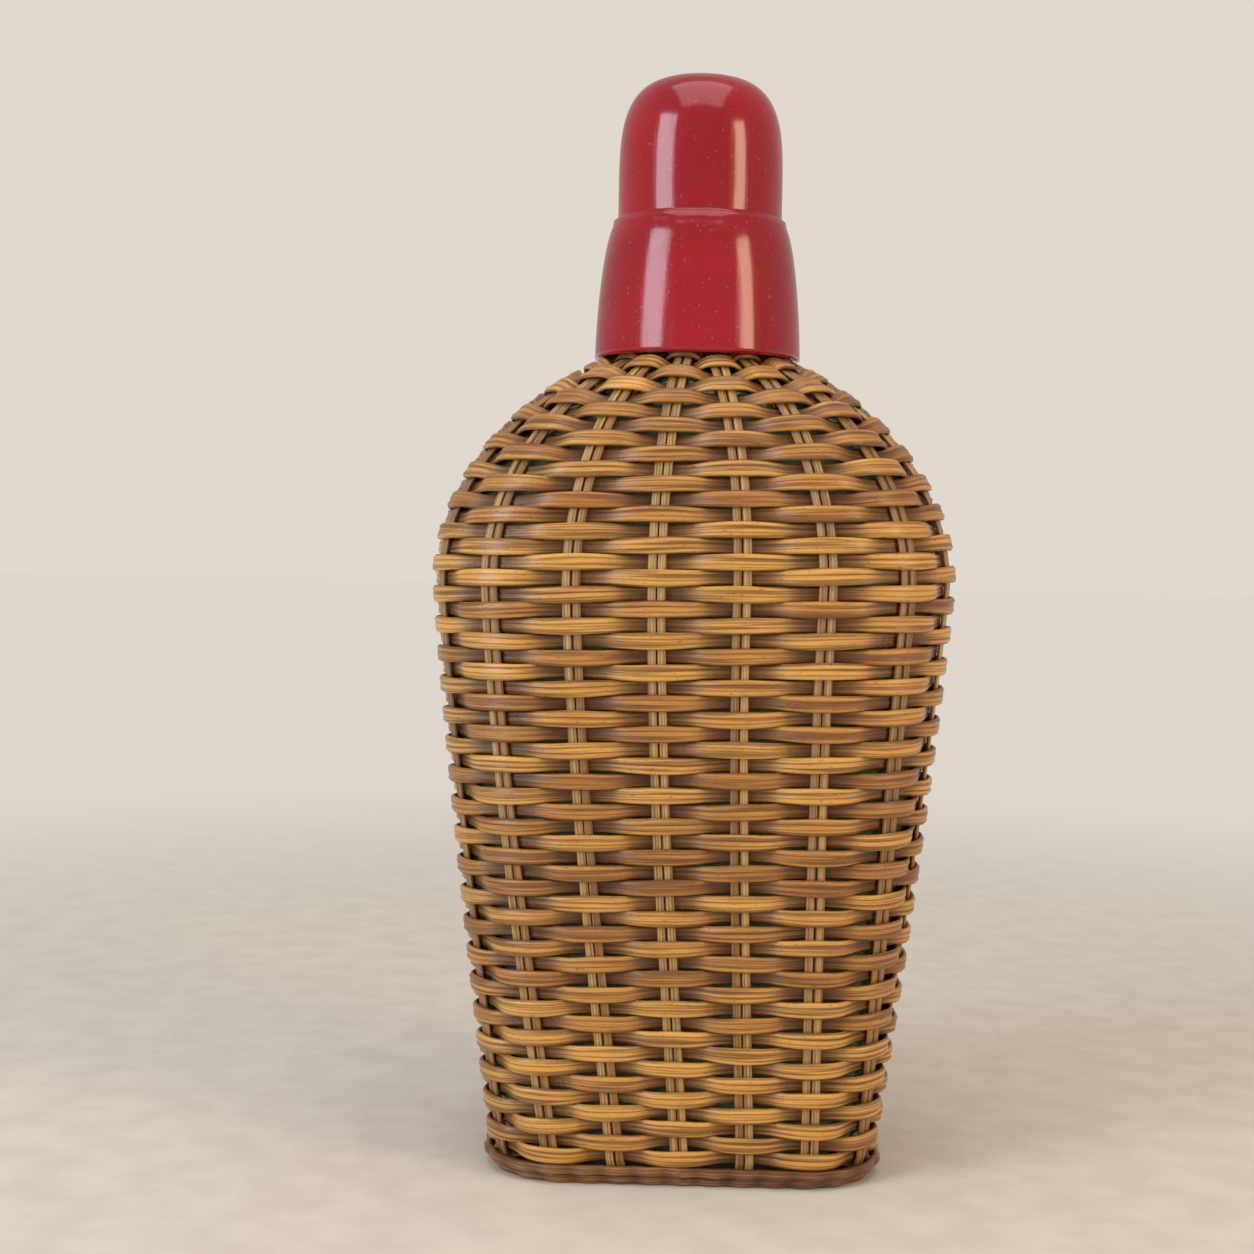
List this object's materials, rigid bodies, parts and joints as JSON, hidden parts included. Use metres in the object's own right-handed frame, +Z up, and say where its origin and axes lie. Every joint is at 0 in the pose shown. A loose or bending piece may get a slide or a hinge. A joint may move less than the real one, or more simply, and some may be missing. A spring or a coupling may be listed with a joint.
{
  "type": "wicker-covered flask",
  "caption": "Flat-sided glass flask in a woven cane jacket, closed by a cork and covered by a stepped drinking cup that pushes over the neck.",
  "frame": {"origin": "middle of the base, in the plane that the flask stands on", "axes": "+Z up through the neck, +X along the broad side, -Y towards the front"},
  "size_m": [0.1466, 0.0944, 0.3091],
  "materials": {
    "bottle_glass": "clear green blown glass",
    "cork": "natural cork, matt",
    "cup_plastic": "glossy deep crimson moulding",
    "golden_cane": "varnished golden brown cane",
    "dark_cane": "varnished dark brown cane",
    "pale_cane": "varnished pale cane"
  },
  "bodies": {
    "flask": {"glass_bottle": "bottle_glass", "front_stake_1": "pale_cane", "front_stake_2": "pale_cane", "front_stake_3": "pale_cane", "front_stake_4": "pale_cane", "front_stake_5": "pale_cane", "side_stake_1": "pale_cane", "side_stake_2": "pale_cane", "side_stake_3": "pale_cane", "side_stake_4": "pale_cane", "foot_border": "dark_cane", "lower_weaver_a": "golden_cane", "lower_weaver_b": "golden_cane", "middle_weaver_a": "golden_cane", "middle_weaver_b": "golden_cane", "upper_weaver_a": "golden_cane", "upper_weaver_b": "golden_cane", "shoulder_weaver_a": "golden_cane", "shoulder_weaver_b": "golden_cane", "collar_weaver": "golden_cane", "neck_binding": "dark_cane", "neck_border": "golden_cane"},
    "cup": {"drinking_cup": "cup_plastic"},
    "stopper": {"cork_stopper": "cork"}
  },
  "joints": [
    {"name": "cup_lift", "type": "slide", "parent": "flask", "child": "cup", "axis": [0, 0, 1], "range_m": [0, 0.12]},
    {"name": "stopper_pull", "type": "slide", "parent": "flask", "child": "stopper", "axis": [0, 0, 1], "range_m": [0, 0.036]}
  ],
  "couplings": [
    {"joint": "stopper_pull", "follows": "cup_lift", "ratio": 0.3}
  ]
}
